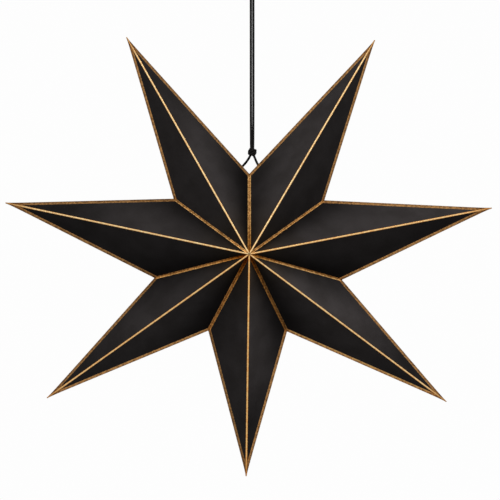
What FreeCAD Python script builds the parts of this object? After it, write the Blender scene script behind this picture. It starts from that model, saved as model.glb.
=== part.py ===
"""Hanging paper star: seven folded card arms on a doubled cord.

The star faces -Y with its hub axis along Y, +Z is up, and the origin is where a hook
bears in the hanging eye at the top of the cord. Sizes are in millimetres and degrees.

Each arm is one sheet of card. Its four long panels fold into a hollow point, widest at
the hub: two meet in the front ridge, two in the back ridge, and front and back meet in
the two outer edges. The panels stop at the valley planes, where glue flaps fold inward
and lie face to face with the flaps of the next arm. The cord runs through a hole in the
back of each upper arm and keeps the star from folding flat at the top valley.
"""

import FreeCAD, Part
import math
import os
from FreeCAD import Placement, Rotation, Vector

doc = FreeCAD.newDocument("hanging_paper_star")

# ---------------------------------------------------------------- sizes

sheet = doc.addObject("Spreadsheet::Sheet", "sizes")

SIZES = [
    # The outline, as the star is seen from the front
    ("arm_reach", 310.0, "hub centre to the tip of each upper, side and lower arm"),
    ("bottom_arm_reach", 279.0, "hub centre to the tip of the bottom arm"),
    ("top_gap", 60.1, "angle between the ridges of the two upper arms"),
    ("upper_gap", 48.8, "angle between the ridges of an upper and a side arm"),
    ("lower_gap", 47.4, "angle between the ridges of a side and a lower arm"),
    ("top_notch_reach", 99.8, "hub centre to the notch between the upper arms"),
    ("upper_notch_reach", 116.3, "hub centre to the notch of the upper gaps"),
    ("lower_notch_reach", 122.0, "hub centre to the notch of the lower gaps"),
    ("bottom_notch_reach", 109.4, "hub centre to the notches beside the bottom arm"),
    ("lower_notch_turn", 2.7, "how far the lower gap's notch turns to the lower arm"),
    ("hub_depth", 80.0, "middle plane to the front, and to the back, of the hub"),
    # The card
    ("card_thickness", 0.5, "one sheet of card"),
    ("glue_flap_width", 12.0, "flap on each valley edge"),
    ("glue_flap_setback", 4.0, "bare valley edge beyond each end of its flap"),
    ("glue_flap_taper", 30.0, "angle of a flap's cut ends to its crease"),
    ("closing_flap_width", 8.0, "flap that closes the sheet along one outer edge"),
    # How it hangs
    ("hub_drop", 352.0, "hanging point down to the hub centre"),
    ("hub_side_step", 4.5, "cord line to the hub centre, to the left"),
    ("hub_forward_step", 5.0, "cord line to the star's middle plane, to the front"),
    ("sideways_lean", 0.6, "turn of the star about its hub axis, top to the right"),
    # The cord
    ("cord_diameter", 2.8, "the cord, pulled tight"),
    ("strand_clearance", 0.3, "between the two strands, side by side"),
    ("cord_hole_clearance", 0.8, "round the cord in its punched hole"),
    ("left_hole_run", 12.5, "notch to the left hole's foot, along the outer edge"),
    ("right_hole_run", 14.5, "notch to the right hole's foot, along the outer edge"),
    ("cord_hole_inset", 6.0, "outer edge in to the hole, as seen from behind"),
    ("bridle_knot_rise", 127.3, "hub centre up to the middle of the bridle knot"),
    ("bridle_knot_tilt", 18.0, "slant of the bridle knot, its top to the right"),
    ("eye_knot_drop", 26.0, "hanging point down to the middle of the eye knot"),
    ("eye_width", 19.0, "hanging eye, across the cord's line"),
    ("eye_crown_width", 11.0, "flat of the eye's crown, before it is rounded"),
    ("knot_pitch", 3.0, "from one turn of a knot to the next"),
    ("cord_tail", 9.0, "loose end beyond each stopper knot"),
]

for row, (alias, value, meaning) in enumerate(SIZES, start=1):
    sheet.set(f"A{row}", alias)
    sheet.set(f"B{row}", str(value))
    sheet.setAlias(f"B{row}", alias)
    sheet.set(f"C{row}", meaning)
doc.recompute()


def size(alias):
    """A size from the sheet, in millimetres or degrees."""
    return float(getattr(sheet, alias))


# ---------------------------------------------------------------- the star's layout


def in_middle_plane(reach, angle):
    """The point at a reach and an angle from the hub, counted from +X towards +Z."""
    turn = math.radians(angle)
    return Vector(reach * math.cos(turn), 0, reach * math.sin(turn))


UPPER = 90 - size("top_gap") / 2
SIDE = UPPER - size("upper_gap")
LOWER = SIDE - size("lower_gap")

TIPS = {
    "arm_upper_right": in_middle_plane(size("arm_reach"), UPPER),
    "arm_upper_left": in_middle_plane(size("arm_reach"), 180 - UPPER),
    "arm_left": in_middle_plane(size("arm_reach"), 180 - SIDE),
    "arm_lower_left": in_middle_plane(size("arm_reach"), 180 - LOWER),
    "arm_bottom": in_middle_plane(size("bottom_arm_reach"), -90),
    "arm_lower_right": in_middle_plane(size("arm_reach"), LOWER),
    "arm_right": in_middle_plane(size("arm_reach"), SIDE),
}

# A notch lies midway between two tips, apart from the turn of the lower ones.
UPPER_NOTCH = (UPPER + SIDE) / 2
LOWER_NOTCH = (SIDE + LOWER) / 2 - size("lower_notch_turn")
BOTTOM_NOTCH = (LOWER - 90) / 2

TOP_NOTCH_POINT = in_middle_plane(size("top_notch_reach"), 90)

# The notch that comes before each arm, counter-clockwise, in the order of TIPS.
NOTCHES = [
    in_middle_plane(size("upper_notch_reach"), UPPER_NOTCH),
    TOP_NOTCH_POINT,
    in_middle_plane(size("upper_notch_reach"), 180 - UPPER_NOTCH),
    in_middle_plane(size("lower_notch_reach"), 180 - LOWER_NOTCH),
    in_middle_plane(size("bottom_notch_reach"), 180 - BOTTOM_NOTCH),
    in_middle_plane(size("bottom_notch_reach"), BOTTOM_NOTCH),
    in_middle_plane(size("lower_notch_reach"), LOWER_NOTCH),
]

HUB_FRONT = Vector(0, -size("hub_depth"), 0)
HUB_BACK = Vector(0, size("hub_depth"), 0)

LEAN = Rotation(Vector(0, 1, 0), size("sideways_lean"))
HUB = Vector(-size("hub_side_step"), -size("hub_forward_step"), -size("hub_drop"))
STAR_PLACE = Placement(HUB, LEAN)


# ---------------------------------------------------------------- card


def solid_feature(name, shape):
    """Put a shape of Part's own functions into the document."""
    feature = doc.addObject("Part::Feature", name)
    feature.Shape = shape
    return feature


def card_face(corners):
    """The flat face between corners."""
    return Part.Face(Part.makePolygon(corners + [corners[0]]))


def plate(name, corners, inner_point, layers=1):
    """A flat piece of card: corners on its outer side, thickness towards inner_point."""
    outline = solid_feature(name + "_outline", card_face(corners))
    normal = (corners[1] - corners[0]).cross(corners[2] - corners[0]).normalize()
    if normal.dot(inner_point - corners[0]) < 0:
        normal = -normal
    sheet_of_card = doc.addObject("Part::Extrusion", name)
    sheet_of_card.Base = outline
    sheet_of_card.DirMode = "Custom"
    sheet_of_card.Dir = normal
    sheet_of_card.Solid = True
    sheet_of_card.setExpression("LengthFwd", f"sizes.card_thickness * {layers}")
    return sheet_of_card


def flap_corners(crease_start, crease_end, towards, width, setback):
    """A tapered flap on the crease between two points, on the side of a third point."""
    along = (crease_end - crease_start).normalize()
    across = towards - crease_start
    across = (across - along * across.dot(along)).normalize()
    slant = width / math.tan(math.radians(size("glue_flap_taper")))
    near = crease_start + along * setback
    far = crease_end - along * setback
    return [
        near,
        far,
        far - along * slant + across * width,
        near + along * slant + across * width,
    ]


def wedge(name, tip, hubs, notches):
    """The solid bounded by an arm's four panels and by its two valley planes."""
    walls = [card_face([hubs[0], hubs[1], notch]) for notch in notches]
    walls += [card_face([hub, tip, notch]) for hub in hubs for notch in notches]
    solid = Part.makeSolid(Part.makeShell(walls))
    if solid.Volume < 0:
        solid.reverse()
    return solid_feature(name, solid)


def inner_tip(tip, notches):
    """The tip of the hollow, a card's thickness inside all four panels."""
    rows = []
    for notch in notches:
        outward = (tip - HUB_FRONT).cross(notch - HUB_FRONT).normalize()
        if outward.dot(notches[0] + notches[1] - notch * 2) > 0:
            outward = -outward
        rows.append((outward.x, outward.z))
    (a, b), (c, d) = rows
    card = size("card_thickness")
    spread = a * d - b * c
    return tip + Vector((b - d) * card / spread, 0, (c - a) * card / spread)


def arm(name, tip, notch_before, notch_after):
    """One folded arm: four panels, four valley flaps and the closing flap."""
    notches = [notch_before, notch_after]
    hubs = [HUB_FRONT, HUB_BACK]
    inside = (tip + notch_before + notch_after) * 0.25

    # The hollow has the same panels one card further in, and runs out past the hub.
    hollow_tip = inner_tip(tip, notches)
    envelope = wedge(name + "_envelope", tip, hubs, notches)
    hollow = wedge(
        name + "_hollow",
        hollow_tip,
        [hollow_tip + (hub - tip) * 1.5 for hub in hubs],
        [hollow_tip + (notch - tip) * 1.5 for notch in notches],
    )
    panels = doc.addObject("Part::Cut", name + "_panels")
    panels.Base = envelope
    panels.Tool = hollow

    flaps = []
    for face_name, hub in zip(("front", "back"), hubs):
        for side_name, notch in zip(("before", "after"), notches):
            corners = flap_corners(
                hub, notch, Vector(0, 0, 0),
                size("glue_flap_width"), size("glue_flap_setback"),
            )
            flaps.append(plate(f"{name}_flap_{face_name}_{side_name}", corners, inside))

    # The closing flap lies inside the back panel, along the outer edge before the arm.
    corners = flap_corners(
        notch_before, tip, HUB_BACK,
        size("closing_flap_width"), size("glue_flap_width"),
    )
    flaps.append(plate(f"{name}_closing_flap", corners, inside, layers=2))

    flap_set = doc.addObject("Part::MultiFuse", name + "_flap_set")
    flap_set.Shapes = flaps
    creased = doc.addObject("Part::MultiCommon", name + "_creased")
    creased.Shapes = [flap_set, envelope]

    folded = doc.addObject("Part::MultiFuse", name + "_folded")
    folded.Shapes = [panels, creased]
    folded.Refine = True
    return folded


arms = {}
for (name, tip), notch_before, notch_after in zip(
    TIPS.items(), NOTCHES, NOTCHES[1:] + NOTCHES[:1]
):
    arms[name] = arm(name, tip, notch_before, notch_after)
doc.recompute()

# ---------------------------------------------------------------- holes for the cord


def cord_hole(tip, run):
    """Where the cord leaves the back of an upper arm, and the panel's outward normal."""
    along = (tip - TOP_NOTCH_POINT).normalize()
    inward = Vector(0, 1, 0).cross(along)
    if inward.dot(TOP_NOTCH_POINT) > 0:
        inward = -inward
    foot = TOP_NOTCH_POINT + along * run + inward * size("cord_hole_inset")
    outward = (tip - HUB_BACK).cross(TOP_NOTCH_POINT - HUB_BACK).normalize()
    if outward.y < 0:
        outward = -outward
    depth = (HUB_BACK - foot).dot(outward) / outward.y
    return foot + Vector(0, depth, 0), outward


parts = {}
holes = {}
hole_runs = {
    "arm_upper_left": size("left_hole_run"),
    "arm_upper_right": size("right_hole_run"),
}
for name, arm_feature in arms.items():
    if name in hole_runs:
        centre, outward = cord_hole(TIPS[name], hole_runs[name])
        punch = doc.addObject("Part::Cylinder", name + "_punch")
        punch.setExpression("Radius", "sizes.cord_diameter / 2 + sizes.cord_hole_clearance")
        punch.setExpression("Height", "sizes.card_thickness * 6")
        lift = outward * (size("card_thickness") * 3)
        punch.Placement = Placement(centre - lift, Rotation(Vector(0, 0, 1), outward))
        punched = doc.addObject("Part::Cut", name)
        punched.Base = arm_feature
        punched.Tool = punch
        arm_feature = punched
        holes[name] = (HUB + LEAN.multVec(centre), LEAN.multVec(outward))
    arm_feature.Placement = STAR_PLACE
    arm_feature.Label = name
    parts[name] = arm_feature

# ---------------------------------------------------------------- cord

CORD = size("cord_diameter")
STRAND = (CORD + size("strand_clearance")) / 2
BRIDLE = -size("hub_drop") + size("bridle_knot_rise")
EYE_KNOT = -size("eye_knot_drop")
STOPPER_LENGTH = size("knot_pitch") * 2


def leg(side, hole, outward):
    """The cord from its loose end, through its hole, up into the bridle knot."""
    in_knot = hole - outward * (size("card_thickness") + STOPPER_LENGTH)
    tail = in_knot + (Vector(0, 0, -0.5) - outward).normalize() * size("cord_tail")
    outside = hole + outward * CORD * 0.9
    gather = Vector(side * STRAND, 0, BRIDLE - CORD * 0.7)
    rising = (outward + (gather - outside).normalize()).normalize()
    return [tail, in_knot, outside, outside + rising * CORD * 2.8, gather]


def rounded_path(points):
    """Straight runs joined by tangent arcs, each as large as its two runs allow."""
    edges = []
    start = points[0]
    for before, corner, after in zip(points, points[1:], points[2:]):
        to_corner = (corner - before).normalize()
        from_corner = (after - corner).normalize()
        shorter = min(before.distanceToPoint(corner), corner.distanceToPoint(after))
        trim = 0.45 * shorter
        turn = to_corner.getAngle(from_corner)
        radius = trim / math.tan(turn / 2)
        arc_start = corner - to_corner * trim
        arc_end = corner + from_corner * trim
        bisector = (from_corner - to_corner).normalize()
        centre = corner + bisector * (radius / math.cos(turn / 2))
        middle = centre - bisector * radius
        edges.append(Part.LineSegment(start, arc_start).toShape())
        edges.append(Part.Arc(arc_start, middle, arc_end).toShape())
        print(f"  turn {math.degrees(turn):5.1f} deg, radius {radius:6.1f} mm")
        start = arc_end
    edges.append(Part.LineSegment(start, points[-1]).toShape())
    return Part.Wire(edges)


eye_side = size("eye_width") / 2
crown_side = size("eye_crown_width") / 2
left_leg = leg(-1, *holes["arm_upper_left"])
right_leg = leg(1, *holes["arm_upper_right"])
eye = [
    Vector(-STRAND, 0, EYE_KNOT),
    Vector(-eye_side, 0, EYE_KNOT * 0.46),
    Vector(-crown_side, 0, CORD / 2),
    Vector(crown_side, 0, CORD / 2),
    Vector(eye_side, 0, EYE_KNOT * 0.46),
    Vector(STRAND, 0, EYE_KNOT),
]
route = left_leg + eye + right_leg[::-1]

print("cord turns:")
cord_path = solid_feature("cord_path", rounded_path(route))
section = doc.addObject("Part::Circle", "cord_section")
section.setExpression("Radius", "sizes.cord_diameter / 2")
section.Placement = Placement(route[0], Rotation(Vector(0, 0, 1), route[1] - route[0]))
cord = doc.addObject("Part::Sweep", "cord_run")
cord.Sections = [section]
cord.Spine = (cord_path, [])
cord.Solid = True
cord.Frenet = False
doc.recompute()

cord_length = cord_path.Shape.Length
expected = math.pi * (CORD / 2) ** 2 * cord_length
print(f"cord length {cord_length:.1f} mm")
print(f"cord volume {cord.Shape.Volume:.1f} mm3, section x length {expected:.1f} mm3")
for point in route:
    print(f"  route {point.x:8.2f} {point.y:8.2f} {point.z:8.2f}")

# ---------------------------------------------------------------- knots


def knot(name, strands, turns, place):
    """Turns of cord drawn tight round one or two strands: a ridged barrel.

    The knot's own frame has the strands along its Z axis and their pair along X.
    """
    crest = (STRAND if strands == 2 else 0) + CORD * 1.5
    waist = crest - CORD * 0.3
    pitch = size("knot_pitch")
    bottom = -pitch * turns / 2
    profile = [Vector(0, 0, bottom), Vector(waist, 0, bottom)]
    for number in range(turns):
        start = bottom + number * pitch
        profile.append(Vector(crest, 0, start + pitch * 0.3))
        profile.append(Vector(crest, 0, start + pitch * 0.7))
        profile.append(Vector(waist, 0, start + pitch))
    profile.append(Vector(0, 0, -bottom))
    body = doc.addObject("Part::Revolution", name + "_body")
    body.Source = solid_feature(name + "_profile", card_face(profile))
    body.Axis = Vector(0, 0, 1)
    body.Angle = 360
    body.Solid = True
    body.Placement = place
    return body


slant = Rotation(Vector(0, 1, 0), size("bridle_knot_tilt"))
knots = [
    knot("bridle_knot", 2, 3, Placement(Vector(0, 0, BRIDLE), slant)),
    knot("eye_knot", 2, 3, Placement(Vector(0, 0, EYE_KNOT), Rotation())),
]

# A stopper knot's flat end is pulled against the inner face of its arm's card.
for side in ("left", "right"):
    hole, outward = holes["arm_upper_" + side]
    middle = hole - outward * (size("card_thickness") + STOPPER_LENGTH / 2)
    place = Placement(middle, Rotation(Vector(0, 0, 1), outward))
    knots.append(knot("stopper_knot_" + side, 1, 2, place))

# The knots are tied in the cord itself, so the cord and its knots are one piece.
tied_cord = doc.addObject("Part::MultiFuse", "hang_cord")
tied_cord.Shapes = [cord] + knots
tied_cord.Label = "hang_cord"
parts["hang_cord"] = tied_cord
doc.recompute()

# ---------------------------------------------------------------- check and write

for item in doc.Objects:
    if "Invalid" in item.State or "Error" in item.State:
        raise RuntimeError(f"{item.Name} could not be made: {item.State}")
for name, feature in parts.items():
    shape = feature.Shape
    if shape.isNull() or not shape.isValid():
        raise RuntimeError(f"{name} has no valid shape")
    if len(shape.Solids) != 1:
        raise RuntimeError(f"{name} is {len(shape.Solids)} solids, not one")
    box = shape.BoundBox
    print(
        f"{name:20s} volume {shape.Volume:9.1f} mm3, faces {len(shape.Faces):3d}, "
        f"size {box.XLength:6.1f} x {box.YLength:6.1f} x {box.ZLength:6.1f} mm"
    )

os.makedirs("parts", exist_ok=True)
for name, feature in parts.items():
    feature.Shape.exportStep(f"parts/{feature.Label}.step")
print(f"{len(parts)} parts written")
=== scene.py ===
"""A hanging paper star: seven folded card arms with gold borders, on a tied cord.

The star faces -Y, +Z is up, and the origin is where a hook bears in the hanging eye.
All lengths are in metres.
"""

from __future__ import annotations

import logging
import math
from dataclasses import astuple, dataclass, field, fields
from enum import Enum
from typing import Any, Iterable, Sequence, Union

import bmesh
import bpy
import numpy as np
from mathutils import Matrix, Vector
from mathutils.bvhtree import BVHTree
from mathutils.interpolate import poly_3d_calc


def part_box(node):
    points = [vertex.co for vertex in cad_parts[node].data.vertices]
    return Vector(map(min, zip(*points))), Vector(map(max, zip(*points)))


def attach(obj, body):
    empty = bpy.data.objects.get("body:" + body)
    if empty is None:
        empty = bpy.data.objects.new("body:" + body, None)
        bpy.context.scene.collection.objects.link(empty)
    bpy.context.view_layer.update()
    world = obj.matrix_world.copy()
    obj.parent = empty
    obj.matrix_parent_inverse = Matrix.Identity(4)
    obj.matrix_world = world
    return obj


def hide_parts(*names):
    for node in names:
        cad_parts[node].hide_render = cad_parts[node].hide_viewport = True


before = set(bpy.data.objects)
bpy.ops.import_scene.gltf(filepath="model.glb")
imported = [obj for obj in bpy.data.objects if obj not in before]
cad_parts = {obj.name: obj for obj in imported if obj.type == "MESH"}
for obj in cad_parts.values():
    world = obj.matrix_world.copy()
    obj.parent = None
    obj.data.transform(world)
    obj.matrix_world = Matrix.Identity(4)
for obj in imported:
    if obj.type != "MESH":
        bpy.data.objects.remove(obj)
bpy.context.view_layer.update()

log = logging.getLogger("paper_star")

Array = np.ndarray
Colour = Point = tuple[float, float, float]

WHITE = (1.0, 1.0, 1.0)
TINY = 1e-6  # less than this counts as nothing
BODY = "root"
CORD_RUN = "cord_run"  # the cord's UV map: metres along it and turns round it

# The card's attributes besides those of its borders: distances from the hub's axis and
# from the tip, and gains.
HUB, TIP = "hub", "tip"
FOLD_GAIN, OPEN_GAIN = "fold_gain", "open_gain"
HUB_SHADE, WARMTH = "hub_shade", "warmth"


# ---------------------------------------------------------------- shader maths


class Signal:
    """One socket of a finish's node tree. Sums on signals add their Math nodes."""

    def __init__(self, tree: "FinishTree", socket: bpy.types.NodeSocket) -> None:
        """Wrap an output socket.

        Args:
            tree: The node tree that new Math nodes go into.
            socket: The output socket that carries the value.
        """
        self.tree = tree
        self.socket = socket

    def _math(self, operation: str, *values: "Value") -> "Signal":
        """Add one Math node.

        Args:
            operation: The node's operation, such as "ADD".
            values: Its inputs in order.

        Returns:
            The node's result.
        """
        return self.tree.node(
            "ShaderNodeMath", {"operation": operation}, dict(enumerate(values))
        )

    def __add__(self, other: "Value") -> "Signal":
        """The sum."""
        return self._math("ADD", self, other)

    def __radd__(self, other: "Value") -> "Signal":
        """The sum, with a number first."""
        return self._math("ADD", other, self)

    def __sub__(self, other: "Value") -> "Signal":
        """The difference."""
        return self._math("SUBTRACT", self, other)

    def __rsub__(self, other: "Value") -> "Signal":
        """The difference, with a number first."""
        return self._math("SUBTRACT", other, self)

    def __mul__(self, other: "Value") -> "Signal":
        """The product."""
        return self._math("MULTIPLY", self, other)

    def __rmul__(self, other: "Value") -> "Signal":
        """The product, with a number first."""
        return self._math("MULTIPLY", other, self)

    def __truediv__(self, other: "Value") -> "Signal":
        """The quotient."""
        return self._math("DIVIDE", self, other)

    def __rtruediv__(self, other: "Value") -> "Signal":
        """The quotient, with a number first."""
        return self._math("DIVIDE", other, self)

    def larger(self, other: "Value") -> "Signal":
        """The larger of two values."""
        return self._math("MAXIMUM", self, other)

    def smaller(self, other: "Value") -> "Signal":
        """The smaller of two values."""
        return self._math("MINIMUM", self, other)

    def power(self, exponent: "Value") -> "Signal":
        """The value to a power."""
        return self._math("POWER", self, exponent)

    def wave(self) -> "Signal":
        """The sine of the value, an angle in radians."""
        return self._math("SINE", self)

    def step(self, low: "Value", high: "Value") -> "Signal":
        """Rise smoothly from 0 at low to 1 at high.

        Args:
            low: Where the step starts.
            high: Where it ends; below low, the step falls instead.

        Returns:
            The step, from 0 to 1.
        """
        return self.tree.node(
            "ShaderNodeMapRange",
            {"interpolation_type": "SMOOTHSTEP"},
            {"Value": self, "From Min": low, "From Max": high},
        )


Value = Union[Signal, float, int, Sequence[float]]


class FinishTree:
    """The node tree of one finish: a shader and what feeds it."""

    def __init__(self, name: str, owner: Any = None) -> None:
        """Start a material or a world with an empty tree.

        Args:
            name: Its name.
            owner: What makes it, such as bpy.data.worlds; materials if None.
        """
        self.material = (bpy.data.materials if owner is None else owner).new(name)
        self.material.use_nodes = True
        self.nodes = self.material.node_tree.nodes
        self.links = self.material.node_tree.links
        self.nodes.clear()

    def node(
        self,
        kind: str,
        settings: dict[str, Any] | None = None,
        sockets: dict[Union[str, int], Value] | None = None,
        out: Union[str, int] = 0,
    ) -> Signal:
        """Add any node.

        Args:
            kind: The node's type.
            settings: Its properties, set before its sockets.
            sockets: Values or signals for its inputs, by name or number.
            out: The output that is wanted.

        Returns:
            That output as a signal.
        """
        made = self.nodes.new(kind)
        for key, value in (settings or {}).items():
            setattr(made, key, value)
        for key, value in (sockets or {}).items():
            socket = made.inputs[key]
            if isinstance(value, Signal):
                self.links.new(value.socket, socket)
            elif socket.type == "RGBA":
                socket.default_value = (*value, 1.0)
            else:
                socket.default_value = value
        return Signal(self, made.outputs[out])

    def place(self) -> Signal:
        """The point's place on the object, in metres."""
        return self.node("ShaderNodeTexCoord", out="Object")

    def measure(self, name: str) -> Signal:
        """One of the piece's own attributes, by name."""
        return self.node("ShaderNodeAttribute", {"attribute_name": name}, out="Fac")

    def noise(
        self, scale: float, detail: float, roughness: float,
        stretch: Point | None = None,
    ) -> Signal:
        """Noise from 0 to 1.

        Args:
            scale: Lumps per metre.
            detail: Octaves of finer noise.
            roughness: How strong the finer octaves are.
            stretch: Factors on the place, for fibres that run one way.

        Returns:
            The noise.
        """
        where = self.place()
        if stretch is not None:
            where = self.tint(where, stretch)
        return self.node(
            "ShaderNodeTexNoise", {"noise_dimensions": "3D"},
            {"Vector": where, "Scale": scale, "Detail": detail, "Roughness": roughness},
        )

    def cells(self, scale: float) -> Signal:
        """A random value from 0 to 1 for each small cell of space.

        Args:
            scale: Cells per metre.

        Returns:
            The value.
        """
        colour = self.node(
            "ShaderNodeTexVoronoi", {"feature": "F1"},
            {"Vector": self.place(), "Scale": scale}, out="Color",
        )
        return self.node("ShaderNodeSeparateColor", sockets={0: colour})

    def blend(self, factor: Value, first: Value, second: Value) -> Signal:
        """Mix two colours by a factor."""
        return self.node(
            "ShaderNodeMix", {"data_type": "RGBA"},
            {0: factor, 6: first, 7: second}, out=2,
        )

    def tint(self, colour: Signal, gains: Value) -> Signal:
        """Multiply a colour or a place by one gain, or by one for each part."""
        return self.node(
            "ShaderNodeVectorMath", {"operation": "MULTIPLY"}, {0: colour, 1: gains}
        )

    def fade(self, tint: Colour, distance: Signal, reach: float) -> Signal:
        """A tint where a distance is 0 that has gone over to white at a reach."""
        return self.blend(distance.step(0.0, reach), tint, WHITE)

    def joined(self, parts: Iterable[Value]) -> Signal:
        """Three values as the parts of one colour."""
        return self.node("ShaderNodeCombineXYZ", sockets=dict(enumerate(parts)))

    def split(self, vector: Signal) -> list[Signal]:
        """The three parts of a vector."""
        node = self.node("ShaderNodeSeparateXYZ", sockets={0: vector}).socket.node
        return [Signal(self, socket) for socket in node.outputs]

    def relief(self, height: Signal, depth: float, strength: float) -> Signal:
        """Bump from a height of 0 to 1.

        Args:
            height: The height map.
            depth: What a height of 1 stands for, in metres.
            strength: The share of it that shows.

        Returns:
            The bent normal.
        """
        return self.node(
            "ShaderNodeBump",
            sockets={"Strength": strength, "Distance": depth, "Height": height},
        )

    def close(self, **sockets: Value) -> bpy.types.Material:
        """Set the Principled shader's sockets and join it to the output.

        Args:
            sockets: Values by socket name, with _ for a space.

        Returns:
            The finished material.
        """
        shader = self.node(
            "ShaderNodeBsdfPrincipled",
            sockets={key.replace("_", " "): value for key, value in sockets.items()},
        )
        return self.output(shader)

    def output(
        self, shader: Signal, kind: str = "ShaderNodeOutputMaterial"
    ) -> bpy.types.ID:
        """Join a shader to the output, and return the material or world."""
        end = self.nodes.new(kind)
        self.links.new(shader.socket, end.inputs["Surface"])
        return self.material


# ---------------------------------------------------------------- finishes


class Border(Enum):
    """The three kinds of line that carry a printed gold border."""

    RIM = "rim"
    VALLEY = "valley"
    RIDGE = "ridge"

    @property
    def gain(self) -> str:
        """The attribute with the painted light and shade on the border's colour."""
        return self.value + "_gain"


@dataclass(frozen=True)
class GoldBorder:
    """One kind of printed gold border.

    The border covers the card as far as half_width from its line. Its grains go from
    deep, where the ink is thin, to bright. More of them are bright farther from the
    line by the share outward, or nearer to it where outward is negative: painted shade
    towards a rim's outer edge and a valley's seam, and a painted highlight along a
    ridge's crest.
    """

    half_width: float
    deep: Colour
    bright: Colour
    outward: float
    metal: float


@dataclass(frozen=True)
class PrintedCard:
    """Matte black card with metallic gold borders along creases, edges and valleys.

    Near the hub the card's colour goes over to that colour times a darker, warmer
    tint: painted shade, warmed by painted light that the gold throws on the card. The
    gold goes over to tip_tint towards a tip, and on the ridges to a dark tint where
    they meet at the hub, which is painted shade. The gains that each side of an arm
    carries are painted light and shade too.
    """

    name: str = "black_card_gold_borders"
    black: Colour = (0.0183, 0.0164, 0.0166)
    soot: Colour = (0.0139, 0.0123, 0.0122)
    # Painted shade near the hub, warmed by painted light from the gold.
    card_hub_shade_and_glow: Colour = (0.76, 0.62, 0.42)
    card_hub_shade_fade: float = 0.085
    # Painted shade on the ridges where they meet at the hub.
    ridge_hub_shade: Colour = (0.25, 0.22, 0.18)
    ridge_hub_shade_fade: float = 0.0036
    tip_tint: Colour = (0.54, 0.41, 0.28)
    tip_fade: float = 0.042
    # Painted shade: the valleys' gold near the hub and on shaded sides, by colour.
    shade_powers: Colour = (1.0, 1.6, 2.9)
    warm_gains: Colour = (0.2, 0.0, -0.25)
    card_roughness: float = 0.66
    gold_roughness: float = 0.40
    rim: GoldBorder = GoldBorder(
        0.0056, (0.13, 0.048, 0.011), (0.84, 0.445, 0.155), 0.40, 0.95
    )
    valley: GoldBorder = GoldBorder(
        0.0024, (0.26, 0.118, 0.032), (0.98, 0.60, 0.23), 0.3, 0.7
    )
    ridge: GoldBorder = GoldBorder(
        0.00145, (0.61, 0.245, 0.045), (1.0, 0.79, 0.42), -0.62, 0.72
    )
    print_wander: float = 0.00035
    print_blur: float = 0.00025

    def make(self) -> bpy.types.Material:
        """Build the finish.

        Each border is 1 where the distance from its line is under its half width. The
        width wanders a little with noise, as ink on rough card does. The gold is
        granular, and lies over the rims, then the valleys, then the ridges. The black
        has grain and mottling, and painted shade along the valley folds: it takes the
        gain along the folds over to the one away from them with v / (v + r), the
        distances from valley and ridge, and both gains are painted light and shade of
        each side. In a valley near the hub, the gold's red has the gain g of the hub's
        painted shade, and its green and blue have powers of g, where those are less, so
        that it is redder as gold lit only by gold is.

        Returns:
            The material.
        """
        tree = FinishTree(self.name)
        wander = (tree.noise(420.0, 3.0, 0.6) - 0.5) * self.print_wander
        mottle = tree.noise(38.0, 4.0, 0.55)
        fibre = tree.noise(900.0, 3.0, 0.65, stretch=(1.0, 1.0, 0.35))
        grain = tree.noise(2600.0, 2.0, 0.6)
        off = {line: tree.measure(line.value) for line in Border}
        fold, hub = tree.measure(FOLD_GAIN), tree.measure(HUB)

        # Painted shade along the valley folds; both gains are painted light and shade.
        rise = off[Border.VALLEY] / (off[Border.VALLEY] + off[Border.RIDGE] + 0.0005)
        card = fold + rise.step(0.0, 0.9) * (tree.measure(OPEN_GAIN) - fold)
        colour = tree.blend(mottle.step(0.3, 0.7), self.soot, self.black)
        colour = tree.tint(colour, (0.55 + fibre * 0.5 + grain * 0.4) * card)
        # Painted shade near the hub, warmed by painted light from the gold.
        colour = tree.tint(colour, tree.fade(self.card_hub_shade_and_glow, hub, self.card_hub_shade_fade))

        patch = tree.noise(360.0, 2.0, 0.6).step(0.38, 0.62)
        flake = patch * 0.42 + tree.cells(1050.0) * 0.33 + tree.cells(2600.0) * 0.25
        flake = flake.step(0.24, 0.76)
        # Painted shade: redder, deeper gold near the hub and on shaded sides.
        shade, warmth = tree.measure(HUB_SHADE), tree.measure(WARMTH)
        crowded = tree.joined(
            shade.smaller(shade.power(power)) for power in self.shade_powers
        )
        warm = tree.joined(1 + warmth * gain for gain in self.warm_gains)
        # The gold goes darker and redder towards each tip.
        tip_darkened = tree.fade(self.tip_tint, tree.measure(TIP), self.tip_fade)
        # Painted shade on the ridges where they meet at the hub.
        ridge_shade = tree.fade(self.ridge_hub_shade, hub, self.ridge_hub_shade_fade)
        tints = {
            Border.RIM: [tip_darkened],
            Border.VALLEY: [tip_darkened, warm, crowded],
            Border.RIDGE: [ridge_shade, tip_darkened, warm],
        }
        gold = metal = 0.0
        for line, border in zip(Border, (self.rim, self.valley, self.ridge)):
            edge = off[line] + wander
            inside = edge.step(border.half_width, border.half_width - self.print_blur)
            # Painted shade at rim edges and valley seams, painted highlight on ridges.
            span = (0.0, border.half_width)
            nearer = edge.step(*(span if border.outward > 0 else span[::-1]))
            share = abs(border.outward)
            ink = tree.blend(
                flake * (1 - share) + nearer * share, border.deep, border.bright
            )
            # Each side's gain on the border's colour is painted light and shade.
            for gains in [tree.measure(line.gain), *tints[line]]:
                ink = tree.tint(ink, gains)
            gold = inside.larger(gold)
            if line is Border.VALLEY:
                inside = inside * off[Border.RIM].step(0.0, self.rim.half_width)
            colour = tree.blend(inside, colour, ink)
            metal = metal + (border.metal - metal) * inside

        roughness = self.card_roughness + (fibre - 0.5) * 0.16
        gilt = self.gold_roughness + (flake - 0.5) * 0.12
        height = grain * 0.5 + fibre * 0.5 + gold * (0.15 + flake * 0.3)
        return tree.close(
            Base_Color=colour,
            Metallic=metal,
            Roughness=roughness + (gilt - roughness) * gold,
            IOR=1.09,
            Normal=tree.relief(height, 0.00022, 0.8),
        )


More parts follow.
